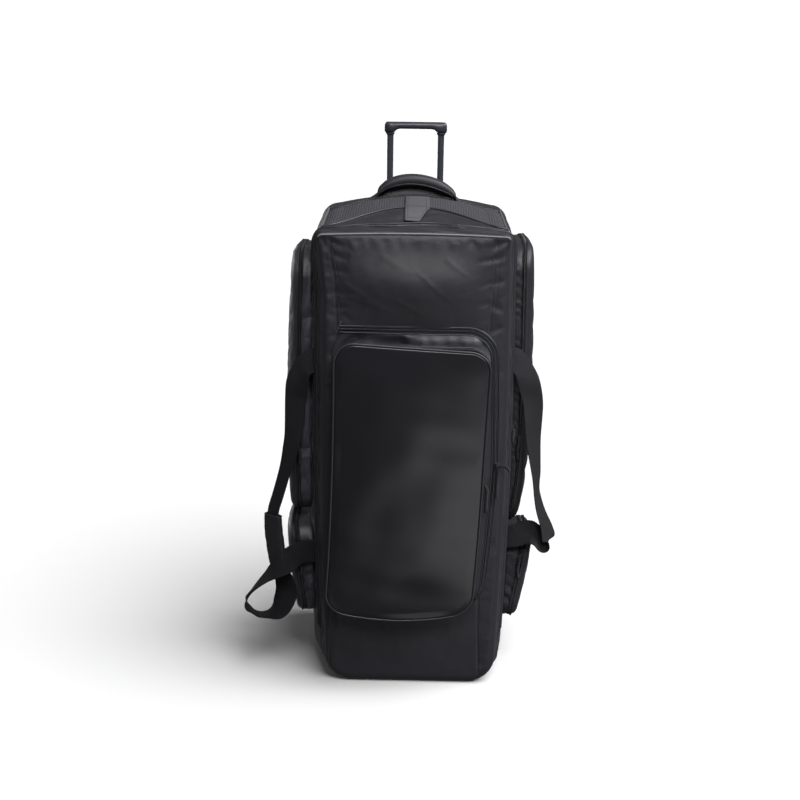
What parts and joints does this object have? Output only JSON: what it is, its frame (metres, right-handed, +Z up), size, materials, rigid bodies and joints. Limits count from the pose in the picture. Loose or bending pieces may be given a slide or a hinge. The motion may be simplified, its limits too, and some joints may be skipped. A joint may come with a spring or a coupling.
{
  "type": "wheeled coffin bag",
  "caption": "Tall wheeled coffin bag standing on end, with a zipped lid, front and side pockets, webbing carry straps, a padded grab handle and a sliding trolley handle.",
  "frame": {"origin": "on the floor under the middle of the flat base", "axes": "+Z up along the bag's length, -Y out of the lid and its pockets, +X to the right seen from the front"},
  "size_m": [0.6513, 0.4055, 1.145],
  "materials": {
    "polyester": "charcoal-black coated polyester, plain weave",
    "mesh": "black spacer mesh",
    "vinyl": "soft black gloss sheet",
    "piping": "dark grey covered piping",
    "webbing": "black ribbed webbing",
    "tab_webbing": "grey ribbed webbing",
    "zip": "black coil zip on woven tape",
    "plastic": "black moulded plastic",
    "rubber": "black wheel rubber",
    "pole": "dark blue-grey painted tube",
    "steel": "plain steel"
  },
  "bodies": {
    "bag": {"side_panel_right": "polyester", "side_panel_left": "polyester", "bottom_panel": "polyester", "wheel_base": "plastic", "top_front_panel": "polyester", "mesh_panel": "mesh", "top_rear_panel": "polyester", "lid_gusset": "polyester", "lid_panel": "polyester", "back_panel": "polyester", "main_zip": "zip", "pocket_large": "polyester", "pocket_front": "polyester", "pocket_front_face": "vinyl", "side_pocket_upper_left": "polyester", "side_pocket_upper_right": "polyester", "side_pocket_lower_left": "polyester", "side_pocket_lower_right": "polyester", "trolley_guide_left": "pole", "trolley_guide_right": "pole", "trolley_bezel": "plastic", "grab_handle": "webbing", "wheel_bracket_left": "plastic", "wheel_bracket_right": "plastic", "axle_left": "steel", "axle_right": "steel", "carry_strap_right": "webbing", "carry_strap_left": "webbing", "handle_wrap": "polyester", "top_tab": "tab_webbing", "piping_lid": "piping", "piping_shoulder_left": "piping", "piping_shoulder_right": "piping", "piping_pocket_front": "piping", "zip_pocket_large": "zip", "zip_pocket_front": "zip", "zip_side_upper_left": "zip", "zip_side_upper_right": "zip", "zip_side_lower_left": "zip", "zip_side_lower_right": "zip", "zip_pull_main": "zip", "zip_pull_pocket_large": "zip", "zip_pull_pocket_front": "zip", "zip_pull_upper_left": "zip", "zip_pull_upper_right": "zip", "zip_pull_lower_left": "zip", "zip_pull_lower_right": "zip"},
    "trolley": {"trolley_grip": "plastic", "trolley_pole_left": "pole", "trolley_pole_right": "pole"},
    "wheel_left": {"wheel_left": "rubber"},
    "wheel_right": {"wheel_right": "rubber"}
  },
  "joints": [
    {"name": "trolley_slide", "type": "slide", "parent": "bag", "child": "trolley", "axis": [0, 0, 1], "range_m": [-0.12, 0.2]},
    {"name": "wheel_left_spin", "type": "hinge", "parent": "bag", "child": "wheel_left", "pos_m": [-0.146, 0.133, 0.036], "axis": [1, 0, 0], "continuous": true},
    {"name": "wheel_right_spin", "type": "hinge", "parent": "bag", "child": "wheel_right", "pos_m": [0.146, 0.133, 0.036], "axis": [1, 0, 0], "continuous": true}
  ]
}
